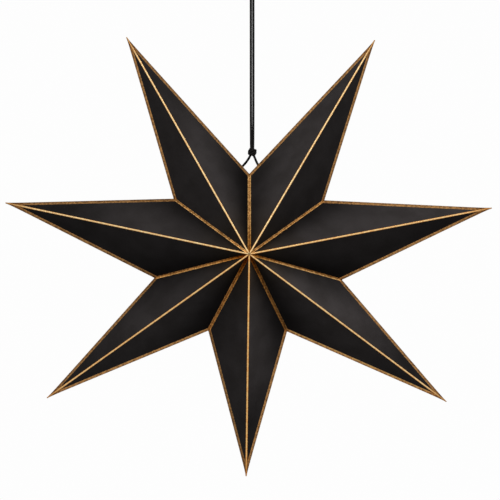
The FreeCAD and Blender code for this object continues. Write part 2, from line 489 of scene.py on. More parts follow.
@dataclass(frozen=True)
class PlainCard:
    """The unprinted inner side of the black card, and its cut edges."""

    name: str = "black_card_inside"
    colour: Colour = (0.022, 0.020, 0.019)
    fleck: Colour = (0.045, 0.040, 0.036)

    def make(self) -> bpy.types.Material:
        """Build the finish: dark pulp with paler fibres and a soft tooth.

        Returns:
            The material.
        """
        tree = FinishTree(self.name)
        fibre = tree.noise(1100.0, 4.0, 0.7, stretch=(1.0, 0.4, 1.0))
        tooth = tree.noise(2400.0, 2.0, 0.6)
        return tree.close(
            Base_Color=tree.blend(fibre.step(0.55, 0.8), self.colour, self.fleck),
            Roughness=0.82 + (tooth - 0.5) * 0.2,
            IOR=1.42,
            Normal=tree.relief(fibre * 0.6 + tooth * 0.4, 0.00008, 0.5),
        )


@dataclass(frozen=True)
class WaxedCord:
    """Black cord of twisted yarns, lightly waxed."""

    name: str = "black_waxed_cord"
    yarn: Colour = (0.0088, 0.0084, 0.0084)
    groove: Colour = (0.003, 0.003, 0.003)
    lay_length: float = 0.0075
    yarns: int = 9

    def make(self) -> bpy.types.Material:
        """Build the finish.

        The UV map counts metres along the cord and turns round it. The yarns are the
        sine of the turn plus the run over the lay length, times the number of yarns.

        Returns:
            The material.
        """
        tree = FinishTree(self.name)
        run, turn, _ = tree.split(tree.node("ShaderNodeUVMap", {"uv_map": CORD_RUN}))
        angle = (turn + run / self.lay_length) * (2 * math.pi * self.yarns)
        yarn = angle.wave() * 0.5 + 0.5
        fuzz = tree.noise(3200.0, 3.0, 0.7)
        dull = tree.noise(160.0, 3.0, 0.6)
        colour = tree.blend(yarn.step(0.05, 0.6), self.groove, self.yarn)
        return tree.close(
            Base_Color=tree.tint(colour, 0.75 + fuzz * 0.5),
            Roughness=0.52 + dull * 0.16 - yarn * 0.06,
            IOR=1.1,
            Normal=tree.relief(yarn * 0.7 + fuzz * 0.3, 0.00012, 0.6),
        )


@dataclass(frozen=True)
class StudioFloor:
    """A pale matte floor."""

    name: str = "pale_floor"
    colour: Colour = (0.86, 0.86, 0.855)
    pale: Colour = (0.88, 0.88, 0.875)
    glow: float = 0.55

    def make(self) -> bpy.types.Material:
        """Build the finish: nearly even, with the faintest tone.

        Returns:
            The material.
        """
        tree = FinishTree(self.name)
        tone = tree.noise(1.5, 3.0, 0.5)
        return tree.close(
            Base_Color=tree.blend(tone, self.colour, self.pale), Roughness=0.9,
            Emission_Color=WHITE, Emission_Strength=self.glow,
        )


@dataclass(frozen=True)
class WhiteGlow:
    """The even white that lies behind everything."""

    name: str = "white_backdrop"
    strength: float = 0.985

    def make(self) -> bpy.types.Material:
        """Build the finish: plain emission, the same all over.

        Returns:
            The material.
        """
        tree = FinishTree(self.name)
        return tree.output(tree.node(
            "ShaderNodeEmission", sockets={"Color": WHITE, "Strength": self.strength}
        ))


# ---------------------------------------------------------------- meshes


def unit(vectors: Array) -> Array:
    """Vectors scaled to length one, along the last axis."""
    return vectors / np.linalg.norm(vectors, axis=-1, keepdims=True)


def line_distance(points: Array, start: Array, end: Array) -> Array:
    """How far points are from straight lines: the cross product with the direction.

    Args:
        points: The points, of any shape with 3 last.
        start: A point of each line.
        end: Another point of each line.

    Returns:
        The distances.
    """
    return np.linalg.norm(np.cross(points - start, unit(end - start)), axis=-1)


def run_along(path: Array) -> Array:
    """How far each point of a path lies from its start, along the path."""
    return np.append(0.0, np.cumsum(np.linalg.norm(np.diff(path, axis=0), axis=1)))


def smooth_step(values: Array, low: float, high: float) -> Array:
    """Rise smoothly from 0 at low to 1 at high, or fall where high is below low."""
    share = np.clip((values - low) / (high - low), 0, 1)
    return share * share * (3 - 2 * share)


def read_all(items: Any, key: str, parts: int = 1, kind: type = float) -> Array:
    """Read one property of all items of a mesh.

    Args:
        items: The items, such as a mesh's vertices.
        key: The property's name.
        parts: How many numbers it has.
        kind: The type of its numbers.

    Returns:
        The values, with one row for each item where it has several numbers.
    """
    values = np.empty(len(items) * parts, kind)
    items.foreach_get(key, values)
    return values.reshape(-1, parts) if parts > 1 else values


def circle(count: int) -> Array:
    """Evenly spaced angles once round."""
    return np.linspace(0, 2 * np.pi, count, endpoint=False)


def grid_quads(rows: int, columns: int, first: int = 0, wrap: bool = False) -> Array:
    """Quads between neighbours of a grid whose columns close into a ring.

    Args:
        rows: Rows of the grid.
        columns: Columns of the grid.
        first: Number of the grid's first vertex.
        wrap: Whether the last row joins the first too.

    Returns:
        One row of four vertex numbers for each quad.
    """
    row = np.arange(rows if wrap else rows - 1)[:, None]
    column = np.arange(columns)[None, :]
    here, beyond = row * columns, (row + 1) % rows * columns
    beside = (column + 1) % columns
    corners = [here + column, here + beside, beyond + beside, beyond + column]
    return np.stack(corners, axis=-1).reshape(-1, 4) + first


def capped_grid(rows: int, columns: int, way: int = 1) -> list[Sequence[int]]:
    """The faces of a grid of rings, with one face across each end.

    Args:
        rows: Rows of the grid.
        columns: Columns of the grid.
        way: 1 for ends that face as the quads do, -1 for ends turned over.

    Returns:
        The faces as vertex numbers.
    """
    last = (rows - 1) * columns
    ends = [range(columns)[::-way], range(last, last + columns)[::way]]
    return [*grid_quads(rows, columns).tolist(), *ends]


def make_mesh(
    name: str, points: Array, faces: Iterable[Sequence[int]],
    measures: dict[str, Array] | None = None,
) -> bpy.types.Object:
    """Make a smooth mesh object at the world's origin.

    Args:
        name: The object's name.
        points: Its vertices in the shared frame.
        faces: Its faces as vertex numbers.
        measures: Values per vertex, kept as attributes.

    Returns:
        The object, in the scene.
    """
    mesh = bpy.data.meshes.new(name)
    mesh.from_pydata(points.tolist(), [], [tuple(face) for face in faces])
    for key, values in (measures or {}).items():
        attribute = mesh.attributes.new(key, "FLOAT", "POINT")
        attribute.data.foreach_set("value", values.astype(np.float32))
    mesh.polygons.foreach_set("use_smooth", np.ones(len(mesh.polygons), dtype=bool))
    mesh.update()
    made = bpy.data.objects.new(name, mesh)
    bpy.context.scene.collection.objects.link(made)
    return made


def evaluated(thing: bpy.types.Object) -> bpy.types.Mesh:
    """A new mesh of an object with its modifiers applied."""
    graph = bpy.context.evaluated_depsgraph_get()
    return bpy.data.meshes.new_from_object(
        thing.evaluated_get(graph), preserve_all_data_layers=True, depsgraph=graph
    )


def inside_out(mesh: bpy.types.Mesh) -> bool:
    """Whether a closed mesh encloses a negative volume."""
    work = bmesh.new()
    work.from_mesh(mesh)
    volume = work.calc_volume(signed=True)
    work.free()
    return volume < 0


# ---------------------------------------------------------------- the star


@dataclass(frozen=True)
class SideShadingAndPrint:
    """How one side of an arm is painted with light and shade: gains on its colours.

    The gains are painted light and shade: they make the side lighter or darker as light
    falls on it. The card has the gain fold along its valley, painted shade in the fold,
    and open away from it, which becomes open times tip towards the arm's tip. The rest
    are for its gold borders: rim, valley and ridge are gains on their colours,
    valley_width is the width of the border along the valley as a share of its own,
    which is print and not light, valley_hub is a further gain on that border near the
    hub, painted shade there, or painted light where it is above one, and warmth makes
    the gold of creases and valleys redder, a painted tone of gold in shade.
    """

    fold: float
    open: float
    tip: float
    rim: float
    valley: float
    ridge: float = 1.0
    valley_width: float = 1.0
    valley_hub: float = 1.0
    warmth: float = 0.0


@dataclass(frozen=True)
class StarLayout:
    """Where the hub, the tips and the notches of the star lie."""

    arm_reach: float = 0.310
    bottom_arm_reach: float = 0.279
    top_gap: float = 60.1
    upper_gap: float = 48.8
    lower_gap: float = 47.4
    top_notch_reach: float = 0.0998
    upper_notch_reach: float = 0.1163
    lower_notch_reach: float = 0.1220
    bottom_notch_reach: float = 0.1094
    lower_notch_turn: float = 2.7
    hub_depth: float = 0.080
    hub: Point = (-0.0045, -0.005, -0.352)
    sideways_lean: float = 0.6
    left_hole_run: float = 0.0125
    right_hole_run: float = 0.0145
    cord_hole_inset: float = 0.006
    # Each side's painted light and shade, as gains, and its valley border's width.
    shading_and_prints: dict[str, tuple[SideShadingAndPrint, SideShadingAndPrint]] = field(default_factory=lambda: {
        "arm_upper_right": (
            SideShadingAndPrint(0.53, 0.66, 0.98, 1.05, 0.85, 1.15, 0.78, 1.0),
            SideShadingAndPrint(0.50, 1.15, 0.84, 1.0, 1.0, 1.15, 1.0, 0.53)),
        "arm_upper_left": (
            SideShadingAndPrint(0.16, 1.18, 0.51, 0.82, 0.85, 1.15, 1.0, 0.53),
            SideShadingAndPrint(1.15, 1.0, 0.93, 1.1, 0.95, 1.15, 0.78, 1.4)),
        "arm_left": (
            SideShadingAndPrint(0.30, 0.88, 0.40, 0.72, 0.95, 1.08, 0.74, 1.4),
            SideShadingAndPrint(0.35, 0.94, 0.70, 0.93, 0.70, 1.08, 0.64, 0.15)),
        "arm_lower_left": (
            SideShadingAndPrint(0.48, 0.98, 0.59, 0.78, 1.26, 1.0, 1.0, 0.16, 0.6),
            SideShadingAndPrint(0.32, 1.27, 0.86, 1.35, 0.82, 1.0, 1.0, 0.12, 0.6)),
        "arm_bottom": (
            SideShadingAndPrint(0.78, 1.15, 0.77, 0.76, 0.82, 1.0, 1.0, 0.12, 1.0),
            SideShadingAndPrint(0.35, 1.5, 0.37, 1.1, 0.49, 1.0, 1.0, 0.33, 1.2)),
        "arm_lower_right": (
            SideShadingAndPrint(0.49, 1.5, 0.71, 1.6, 0.48, 1.1, 1.0, 0.33, 0.6),
            SideShadingAndPrint(0.63, 1.46, 0.34, 0.92, 1.15, 1.1, 0.95, 0.54)),
        "arm_right": (
            SideShadingAndPrint(0.27, 0.80, 0.70, 1.22, 0.62, 1.0, 0.64, 0.54, 0.5),
            SideShadingAndPrint(0.27, 1.02, 1.1, 1.0, 0.85, 1.0, 0.74, 1.0, 0.5)),
    })

    def at(self, reach: float, angle: float) -> Array:
        """The point of the middle plane at a reach and an angle from +X to +Z."""
        turn = math.radians(angle)
        return np.array([reach * math.cos(turn), 0.0, reach * math.sin(turn)])

    def directions(self) -> tuple[float, float, float]:
        """The angles of the right-hand upper, side and lower arms."""
        upper = 90 - self.top_gap / 2
        side = upper - self.upper_gap
        return upper, side, side - self.lower_gap

    def tips(self) -> dict[str, Array]:
        """The tip of each arm, counter-clockwise from the upper right one."""
        upper, side, lower = self.directions()
        angles = (upper, 180 - upper, 180 - side, 180 - lower, -90, lower, side)
        reaches = dict.fromkeys(self.shading_and_prints, self.arm_reach)
        reaches["arm_bottom"] = self.bottom_arm_reach
        return {
            name: self.at(reach, angle)
            for (name, reach), angle in zip(reaches.items(), angles)
        }

    def notches(self) -> list[Array]:
        """The notch before each arm, in the order of the tips."""
        upper, side, lower = self.directions()
        high = (upper + side) / 2
        low = (side + lower) / 2 - self.lower_notch_turn
        foot = (lower - 90) / 2
        places = [
            (self.upper_notch_reach, high),
            (self.top_notch_reach, 90),
            (self.upper_notch_reach, 180 - high),
            (self.lower_notch_reach, 180 - low),
            (self.bottom_notch_reach, 180 - foot),
            (self.bottom_notch_reach, foot),
            (self.lower_notch_reach, low),
        ]
        return [self.at(*place) for place in places]

    def placed(self, points: Array) -> Array:
        """Lean points about the hub axis and carry them to the hub's place."""
        turn = math.radians(self.sideways_lean)
        cos, sin = math.cos(turn), math.sin(turn)
        lean = np.array([[cos, 0, sin], [0, 1, 0], [-sin, 0, cos]])
        return points @ lean.T + np.array(self.hub)

    def cord_hole(self, tip: Array) -> tuple[Array, Array]:
        """Find the cord's hole in the back of an upper arm.

        Args:
            tip: The arm's tip.

        Returns:
            The hole's centre and the panel's outward normal, about the hub.
        """
        notch = self.at(self.top_notch_reach, 90)
        run = self.left_hole_run if tip[0] < 0 else self.right_hole_run
        hub_back = np.array([0.0, self.hub_depth, 0.0])
        along = unit(tip - notch)
        inward = np.cross([0.0, 1.0, 0.0], along)
        inward *= -np.sign(inward @ notch)
        foot = notch + along * run + inward * self.cord_hole_inset
        outward = unit(np.cross(tip - hub_back, notch - hub_back))
        outward *= np.sign(outward[1])
        lift = (hub_back - foot) @ outward / outward[1]
        return foot + np.array([0.0, lift, 0.0]), outward


@dataclass
class FoldedArm:
    """One folded arm: a hollow point of four panels, with its four valley folds.

    The card's painted light and shade goes over to the tip's between the two shares
    tip_tone of the reach. Within hub_reach of the hub's axis, the valleys' gold has a
    gain of its own, painted shade, or painted light where it is above one, and the
    ridges' borders are narrower by the share hub_narrowing at most.
    """

    name: str
    tip: Array
    notch_before: Array
    notch_after: Array
    layout: StarLayout
    shading_and_prints: tuple[SideShadingAndPrint, SideShadingAndPrint]
    card: float = 0.0005
    ridge_round: float = 0.0021
    edge_round: float = 0.0008
    fold_round: float = 0.0007
    tip_taper: float = 0.0155
    tip_blunt: float = 0.0032
    tip_cap: float = 0.0010
    blunt_fade: float = 0.020
    panel_bow: float = 0.0004
    flap_width: float = 0.012
    flap_setback: float = 0.004
    flap_taper: float = 30.0
    flap_least: float = 0.0013
    flap_rows: tuple[float, ...] = (0.35, 0.7, 1.0)
    flap_turn: float = 0.15
    fold_steps: int = 5
    arc_steps: int = 5
    crease_margins: tuple[float, float] = (0.0003, 0.0009)
    span_steps: int = 12
    tip_rows: tuple[float, ...] = (0.0006, 0.0014, 0.0026, 0.0045, 0.009, 0.016)
    row_steps: int = 43
    row_growth: float = 1.1
    thin_tip: float = 0.007
    least_thickness: float = 0.02
    tip_tone: tuple[float, float] = (0.42, 0.80)
    hub_reach: float = 0.043
    hub_narrowing: float = 0.14
    punched: bool = False
    hole_radius: float = 0.0022
    hole_near: float = 1.5
    hole_margin: float = 1.01
    drill_reach: float = 0.002
    drill_sides: int = 48
    points: Array = field(init=False)
    measures: dict[str, Array] = field(init=False)

    def _crease(
        self, before: Array, end: Array, after: Array, radius: float
    ) -> tuple[Array, Array]:
        """Round one of the four creases that run from the tip.

        With n1 and n2 the outward normals of the panels on both sides, b midway
        between them and s across it, a point of the arc is b times the cosine plus s
        times the sine of its angle, less b over the cosine of half the turn. Beyond
        each end of the arc lie two more points of the flat panel.

        Args:
            before: End of the crease before this one.
            end: End of this crease.
            after: End of the crease after this one.
            radius: The arc's radius.

        Returns:
            Offsets from the crease's corner for a radius of one, and each offset's
            distance from the crest.
        """
        middle = (self.tip + self.notch_before + self.notch_after) / 4
        normals = []
        for other in (before, after):
            normal = unit(np.cross(end - self.tip, other - self.tip))
            normals.append(normal * -np.sign(normal @ (middle - self.tip)))
        first, second = normals
        b, s = unit(first + second), unit(second - first)
        half = 0.5 * math.acos(float(np.clip(first @ second, -1, 1)))
        angle = np.linspace(-half, half, 2 * self.arc_steps + 1)[:, None]
        arc = np.cos(angle) * b + np.sin(angle) * s - b / math.cos(half)
        beyond = np.array(self.crease_margins) / radius
        reach = math.tan(half)
        lead = arc[0] * (1 + beyond[::-1, None] / reach)
        tail = arc[-1] * (1 + beyond[:, None] / reach)
        spread = np.concatenate([
            reach + beyond[::-1], reach * np.abs(angle[:, 0]) / half, reach + beyond,
        ])
        return np.concatenate([lead, arc, tail]), spread

    def _fullness(self, run: Array) -> Array:
        """How much wider the blunt tip is than a sharp one, at runs from the tip.

        The width grows as the root of s^2 + blunt^2 instead of s, which fades into s
        over 20 mm, and closes at the very tip as a quarter circle.

        Args:
            run: Distances from the tip.

        Returns:
            The factor on the width of a sharp tip.
        """
        blunt = np.sqrt(1 + (self.tip_blunt / run) ** 2) - 1
        cap = np.sqrt(1 - (1 - np.clip(run / self.tip_cap, 0, 1)) ** 2)
        return (1 + blunt * np.exp(-run / self.blunt_fade)) * cap

    def _strip(
        self, rows: Array, before: Array, end: Array, after: Array, radius: float
    ) -> tuple[Array, Array]:
        """Carry a crease's rounding from the tip to the valley planes.

        A column is a straight line from the tip T towards the crease's end C, moved
        aside by the rounding: T + t (C - T) + r(t) a, where r(t) rises from nothing at
        the tip to the crease's radius. It stops where it meets the valley plane, at
        t = m.(T + r a) / m.(T - C) for a plane with normal m through the hub axis.

        Args:
            rows: Shares of the way from the tip to the stops.
            before: End of the crease before this one.
            end: End of this crease.
            after: End of the crease after this one.
            radius: The crease's radius.

        Returns:
            The points, and their distances from the crease's crest.
        """
        tip = self.tip
        offsets, spread = self._crease(before, end, after, radius)
        stop = np.full(len(offsets), np.inf)
        for notch in (self.notch_before, self.notch_after):
            normal = unit(np.array([notch[2], 0.0, -notch[0]]))
            normal *= np.sign(normal @ tip)
            drop = normal @ (tip - end)
            if drop > TINY:
                stop = np.minimum(stop, (tip + offsets * radius) @ normal / drop)
        share = rows[:, None] * stop
        run = share * np.linalg.norm(end - tip)
        swell = radius * np.tanh(run / self.tip_taper)
        along = unit(-tip) * ((end - tip) @ unit(-tip))
        wide = (end - tip - along) * self._fullness(run)[..., None]
        points = tip + share[..., None] * (along + wide) + swell[..., None] * offsets
        return points, spread * swell

    def _span(self, rows: Array, a: Array, b: Array, normal: Array) -> Array:
        """The columns between two creases, which divide the way between them evenly.

        The panel bows out along its normal by the sine of pi t^0.8 times the square of
        4 s (1 - s), with t the share of the way from the tip and s that across.

        Args:
            rows: Shares of the way from the tip to the valley.
            a: The last column of the first crease.
            b: The first column of the second one.
            normal: The panel's outward normal.

        Returns:
            The points.
        """
        share = np.arange(1, self.span_steps) / self.span_steps
        crown = (4 * share * (1 - share)) ** 2
        bulge = self.panel_bow * np.outer(np.sin(np.pi * rows ** 0.8), crown)
        return a + share[:, None] * (b - a) + bulge[..., None] * normal

    def _flap(
        self, stops: Array, ridge_end: Array, edge_end: Array
    ) -> tuple[Array, Array]:
        """Which way a flap points from its valley fold, and how wide it is.

        It points square to the fold and towards the star's middle within the valley
        plane, and turns straight back along the hub axis close to the ridge. It is
        narrower towards both ends of the fold, by the slope of its cut.

        Args:
            stops: The points of the fold.
            ridge_end: The hub end of the fold.
            edge_end: The notch end of the fold.

        Returns:
            One direction and one width for each point.
        """
        length = np.linalg.norm(edge_end - ridge_end)
        fold = unit(edge_end - ridge_end)
        along = (stops - ridge_end) @ fold
        across = unit(-ridge_end + (ridge_end @ fold) * fold)
        turn = np.clip(along / length / self.flap_turn, 0, 1)[:, None]
        room = np.minimum(along, length - along) - self.flap_setback
        width = room * math.tan(math.radians(self.flap_taper))
        return (
            unit(unit(-ridge_end) * (1 - turn) + across * turn),
            np.clip(width, self.flap_least, self.flap_width),
        )

    def _panels(self, rows: Array) -> tuple[list[Array], list[Array]]:
        """Work out the four panels, each from the crest of one crease to the next.

        Args:
            rows: Shares of the way from the tip to the valley.

        Returns:
            The points and the flaps' directions, and the flaps' widths, the distances
            from ridge, edge and valley, and each side's painted light and shade gains
            and valley border width, with columns last.
        """
        tip = self.tip
        hub_front = np.array([0.0, -self.layout.hub_depth, 0.0])
        ends = [hub_front, self.notch_after, -hub_front, self.notch_before]
        radii = [self.ridge_round, self.edge_round] * 2
        strips = [
            self._strip(rows, ends[k - 1], ends[k], ends[(k + 1) % 4], radii[k])
            for k in range(4)
        ]
        vectors, numbers = [], []
        for index in range(4):
            following = (index + 1) % 4
            pair = [ends[index], ends[following]]
            kinds = [0, 1] if index % 2 == 0 else [1, 0]
            ridge_end, edge_end = (pair[kind] for kind in kinds)
            middle = len(strips[index][1][0]) // 2

            # The second half of this crease, the span, the first half of the next.
            a, b = strips[index][0][:, middle:], strips[following][0][:, :middle]
            normal = unit(np.cross(ridge_end - tip, edge_end - tip))
            normal *= np.sign(normal @ ridge_end)
            span = self._span(rows, a[:, -1:], b[:, :1], normal)
            skin = np.concatenate([a, span, b], axis=1)

            # A crease's own columns are as far from it as they are along its arc.
            off = [line_distance(skin, tip, end) for end in (ridge_end, edge_end)]
            off[kinds[0]][:, :a.shape[1]] = strips[index][1][:, middle:]
            off[kinds[1]][:, -middle:] = strips[following][1][:, :middle]
            off.append(line_distance(skin, ridge_end, edge_end))
            inward, width = self._flap(skin[-1], ridge_end, edge_end)
            # The side's gains: painted light and shade, and its valley border's width.
            side_gains = np.array(astuple(self.shading_and_prints[1 if index < 2 else 0]))
            vectors.append((skin, inward))
            numbers.append((width, *off, np.tile(side_gains[:, None], skin.shape[1])))
        return (
            [np.concatenate(parts, axis=-2) for parts in zip(*vectors)],
            [np.concatenate(parts, axis=-1) for parts in zip(*numbers)],
        )

    def shape(self) -> None:
        """Work out the skin as a grid of rows from the tip and columns round the arm.

        The rows are close together at the tip, then more even, and the last lies close
        before the valley. Past it, the quadratic curve with its middle point on the
        valley plane, (1 - q)^2 A + 2 q (1 - q) M + q^2 B, folds each column into its
        flap.
        """
        steps = np.linspace(0.0, 1.0, self.row_steps + 1)[1:]
        first = self.tip_rows[-1]
        rest = first + steps ** self.row_growth * (1 - first)
        rows = np.concatenate([self.tip_rows, rest])
        reach = np.hypot(np.linalg.norm(self.tip), self.layout.hub_depth)
        rows = np.append(rows * (1 - self.fold_round / reach), 1.0)
        (skin, inward), (width, *off, gains) = self._panels(rows)
        panel, stops = skin[:-1], skin[-1]

        q = (np.arange(1, self.fold_steps + 1) / self.fold_steps)[:, None, None]
        finish = stops + inward * self.fold_round
        fold = (1 - q) ** 2 * panel[-1] + 2 * q * (1 - q) * stops + q ** 2 * finish
        down = np.array(self.flap_rows)[:, None]
        deep = self.fold_round + down * (width - self.fold_round)
        points = np.concatenate([panel, fold, stops + deep[..., None] * inward])
        self.points = self.layout.placed(points)

        ridge, rim, valley = (distances[:-1] for distances in off)
        past = [np.linalg.norm(fold - stops, axis=-1), deep]
        added = ((0, len(fold) + len(deep)), (0, 0))
        hub = np.hypot(points[..., 0], points[..., 2])
        near = smooth_step(hub, self.hub_reach, 0)
        narrowed = 1 - self.hub_narrowing * near
        outer = smooth_step(hub / np.linalg.norm(self.tip), *self.tip_tone)
        gain = {
            part.name: np.broadcast_to(row, hub.shape)
            for part, row in zip(fields(SideShadingAndPrint), gains)
        }
        # The gains are each side's painted light and shade.
        self.measures = {
            Border.RIDGE.value: np.pad(ridge, added, "edge") / narrowed,
            Border.RIM.value: np.pad(rim, added, "edge"),
            Border.VALLEY.value: np.concatenate([valley, *past]) / gain["valley_width"],
            HUB: hub,
            TIP: np.linalg.norm(points - self.tip, axis=-1),
            OPEN_GAIN: gain["open"] * (1 + (gain["tip"] - 1) * outer),
            FOLD_GAIN: gain["fold"],
            Border.RIM.gain: gain["rim"],
            Border.VALLEY.gain: gain["valley"],
            Border.RIDGE.gain: gain["ridge"],
            WARMTH: gain["warmth"],
            HUB_SHADE: 1 + (gain["valley_hub"] - 1) * near,
        }

    def build(self) -> bpy.types.Object:
        """Make the arm's mesh, with the card's thickness.

        Returns:
            The arm's object.
        """
        self.shape()
        rows, columns = self.points.shape[:2]
        tip = self.layout.placed(self.tip[None, :])
        points = np.concatenate([tip, self.points.reshape(-1, 3)])
        quads = grid_quads(rows, columns, first=1)
        ring = np.arange(columns)
        fan = np.stack([np.zeros(columns, int), 1 + (ring + 1) % columns, 1 + ring], 1)
        corner = points[quads[:, :3]] - points[0]
        if np.einsum("ij,ij->", corner[:, 0], np.cross(corner[:, 1], corner[:, 2])) < 0:
            quads, fan = quads[:, ::-1], fan[:, ::-1]
        measures = {
            key: np.concatenate([values[0, :1], values.ravel()])
            for key, values in self.measures.items()
        }
        faces = [*fan.tolist(), *quads.tolist()]
        arm = make_mesh(self.name + "_card", points, faces, measures)

        # The card thins to the very tip, where its two sides meet.
        group = arm.vertex_groups.new(name="card")
        run = np.linalg.norm(points - points[0], axis=1)
        weights = np.round(np.clip(run / self.thin_tip, self.least_thickness, 1), 2)
        for weight in np.unique(weights):
            chosen = np.nonzero(weights == weight)[0].tolist()
            group.add(chosen, float(weight), "REPLACE")
        wall = arm.modifiers.new("card", "SOLIDIFY")
        wall.thickness = self.card
        wall.offset = -1.0
        wall.vertex_group = "card"
        wall.material_offset = wall.material_offset_rim = 1
        return arm

    def dress(
        self, arm: bpy.types.Object, finishes: Sequence[bpy.types.Material]
    ) -> None:
        """Give the arm its two sides and the cord's hole, and put it on the star's body
        in place of its part.

        Args:
            arm: The arm's object.
            finishes: The printed card outside and the plain card inside.
        """
        for finish in finishes:
            arm.data.materials.append(finish)
        mesh = self._punch(arm) if self.punched else evaluated(arm)
        arm.modifiers.clear()
        arm.vertex_groups.clear()
        arm.data = mesh
        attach(arm, BODY)
        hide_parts(self.name)

    def _punch(self, arm: bpy.types.Object) -> bpy.types.Mesh:
        """Cut the cord's round hole through the back panel with a hidden drill.

        Args:
            arm: The arm's object, with its modifiers live.

        Returns:
            The arm's mesh with its modifiers and the hole.
        """
        centre, outward = self.layout.cord_hole(self.tip)
        ends = self.layout.placed(np.stack([centre, centre + outward]))
        axis = ends[1] - ends[0]
        side = unit(np.cross(axis, [0.0, 0.0, 1.0]))
        turn = circle(self.drill_sides)[:, None]
        ring = np.cos(turn) * side + np.sin(turn) * np.cross(axis, side)
        middle = ends[0] + ring * self.hole_radius
        rings = np.concatenate([middle + axis * h * self.drill_reach for h in (-1, 1)])
        faces = capped_grid(2, self.drill_sides, way=-1)
        drill = make_mesh(self.name + "_drill", rings, faces)
        drill.data.materials.append(arm.data.materials[1])
        drill.data.shade_flat()
        whole = evaluated(arm)
        cut = arm.modifiers.new("hole", "BOOLEAN")
        cut.operation = "DIFFERENCE"
        cut.solver = "EXACT"
        cut.object = drill
        mesh = evaluated(arm)
        self._measure_cut(whole, mesh, ends)
        bpy.data.objects.remove(drill)
        return mesh

    def _measure_cut(
        self, whole: bpy.types.Mesh, cut: bpy.types.Mesh, ends: Array
    ) -> None:
        """Give the points that the drill made the measures of the card they lie on.

        The points are those within the drill's radius of its axis, and near the hole.
        A point's value is the mean of the values at the corners of the nearest face,
        each weighted by how near the point is to that corner.

        Args:
            whole: The card's mesh before the cut.
            cut: The mesh after it.
            ends: The hole's centre and another point of the drill's axis.
        """
        points = read_all(cut.vertices, "co", 3)
        off_hole = np.linalg.norm(points - ends[0], axis=1) / self.hole_radius
        off_axis = line_distance(points, ends[0], ends[1]) / self.hole_radius
        near = (off_hole < self.hole_near) & (off_axis < self.hole_margin)
        places = [vertex.co for vertex in whole.vertices]
        faces = [tuple(face.vertices) for face in whole.polygons]
        surface = BVHTree.FromPolygons(places, faces)
        for index in np.nonzero(near)[0].tolist():
            spot, _, face, _ = surface.find_nearest(cut.vertices[index].co)
            corners = faces[face]
            weights = poly_3d_calc([places[corner] for corner in corners], spot)
            for key in self.measures:
                known = whole.attributes[key].data
                value = sum(w * known[c].value for w, c in zip(weights, corners))
                cut.attributes[key].data[index].value = value


# ---------------------------------------------------------------- the cord


class Turn(Enum):
    """Which way a cord's yarns are laid."""

    LEFT = -1.0
    RIGHT = 1.0


@dataclass(frozen=True)
class LaidCord:
    """A laid cord, whose lobed section is carried along a path.

    A point of the section at the angle v and the run s has the radius
    R (1 + swell + relief cos(lobes (v + 2 pi s / lay))), so that the strands wind round
    the path. The section's frame is a guide direction made square to the path.
    """

    diameter: float
    lay_length: float
    turn: Turn = Turn.RIGHT
    lobes: int = 3
    relief: float = 0.035
    swell: float = 0.055
    around: int = 18

    def tube(
        self, name: str, path: Array, guide: Array, closed: bool = False
    ) -> bpy.types.Object:
        """Make the cord's surface.

        Args:
            name: The object's name.
            path: Points along the cord's middle.
            guide: One direction, or one for each point, not along the path.
            closed: Whether the path joins its own start.

        Returns:
            The tube's object, with its UV map in metres along and turns round.
        """
        ahead = np.roll(path, -1, axis=0) - np.roll(path, 1, axis=0)
        if not closed:
            ahead[0], ahead[-1] = path[1] - path[0], path[-1] - path[-2]
        ahead = unit(ahead)
        first = unit(guide - np.sum(guide * ahead, 1)[:, None] * ahead)
        second = np.cross(ahead, first)
        run, lay, rows = run_along(path), self.lay_length, len(path)
        if closed:
            run = run_along(np.concatenate([path, path[:1]]))
            lay = run[-1] / max(1, round(run[-1] / lay))

        v = circle(self.around)[None, :]
        phase = self.lobes * (v + self.turn.value * 2 * np.pi * run[:rows, None] / lay)
        radius = self.diameter / 2 * (1 + self.swell + self.relief * np.cos(phase))
        cos, sin = np.cos(v)[..., None], np.sin(v)[..., None]
        ring = cos * first[:, None] + sin * second[:, None]
        points = (path[:, None] + radius[..., None] * ring).reshape(-1, 3)
        faces = (
            grid_quads(rows, self.around, wrap=True).tolist() if closed
            else capped_grid(rows, self.around)
        )
        tube = make_mesh(name, points, faces)
        if inside_out(tube.data):
            tube.data.flip_normals()
        self._unwrap(tube.data, run)
        return tube

    def _unwrap(self, mesh: bpy.types.Mesh, run: Array) -> None:
        """Give a tube its UV map, whose faces' far corners read past their own ends.

        Args:
            mesh: The tube's mesh.
            run: The run at each row, and at the end if the tube is closed.
        """
        corners = read_all(mesh.loops, "vertex_index", kind=int)
        starts = read_all(mesh.polygons, "loop_start", kind=int)
        sizes = np.diff(np.append(starts, len(corners)))
        face = np.repeat(np.arange(len(starts)), sizes)
        row, column = corners // self.around, corners % self.around

        def past(place: Array) -> Array:
            """Which corners of the first row or column belong past the last."""
            low = np.minimum.reduceat(place, starts)[face]
            high = np.maximum.reduceat(place, starts)[face]
            return (place == low) & (high - low > 1)

        turns = np.where(past(column) & (sizes[face] == 4), self.around, column)
        metres = np.where(past(row), run[-1], run[np.minimum(row, len(run) - 1)])
        layer = mesh.uv_layers.new(name=CORD_RUN)
        layer.data.foreach_set("uv", np.stack([metres, turns / self.around], 1).ravel())


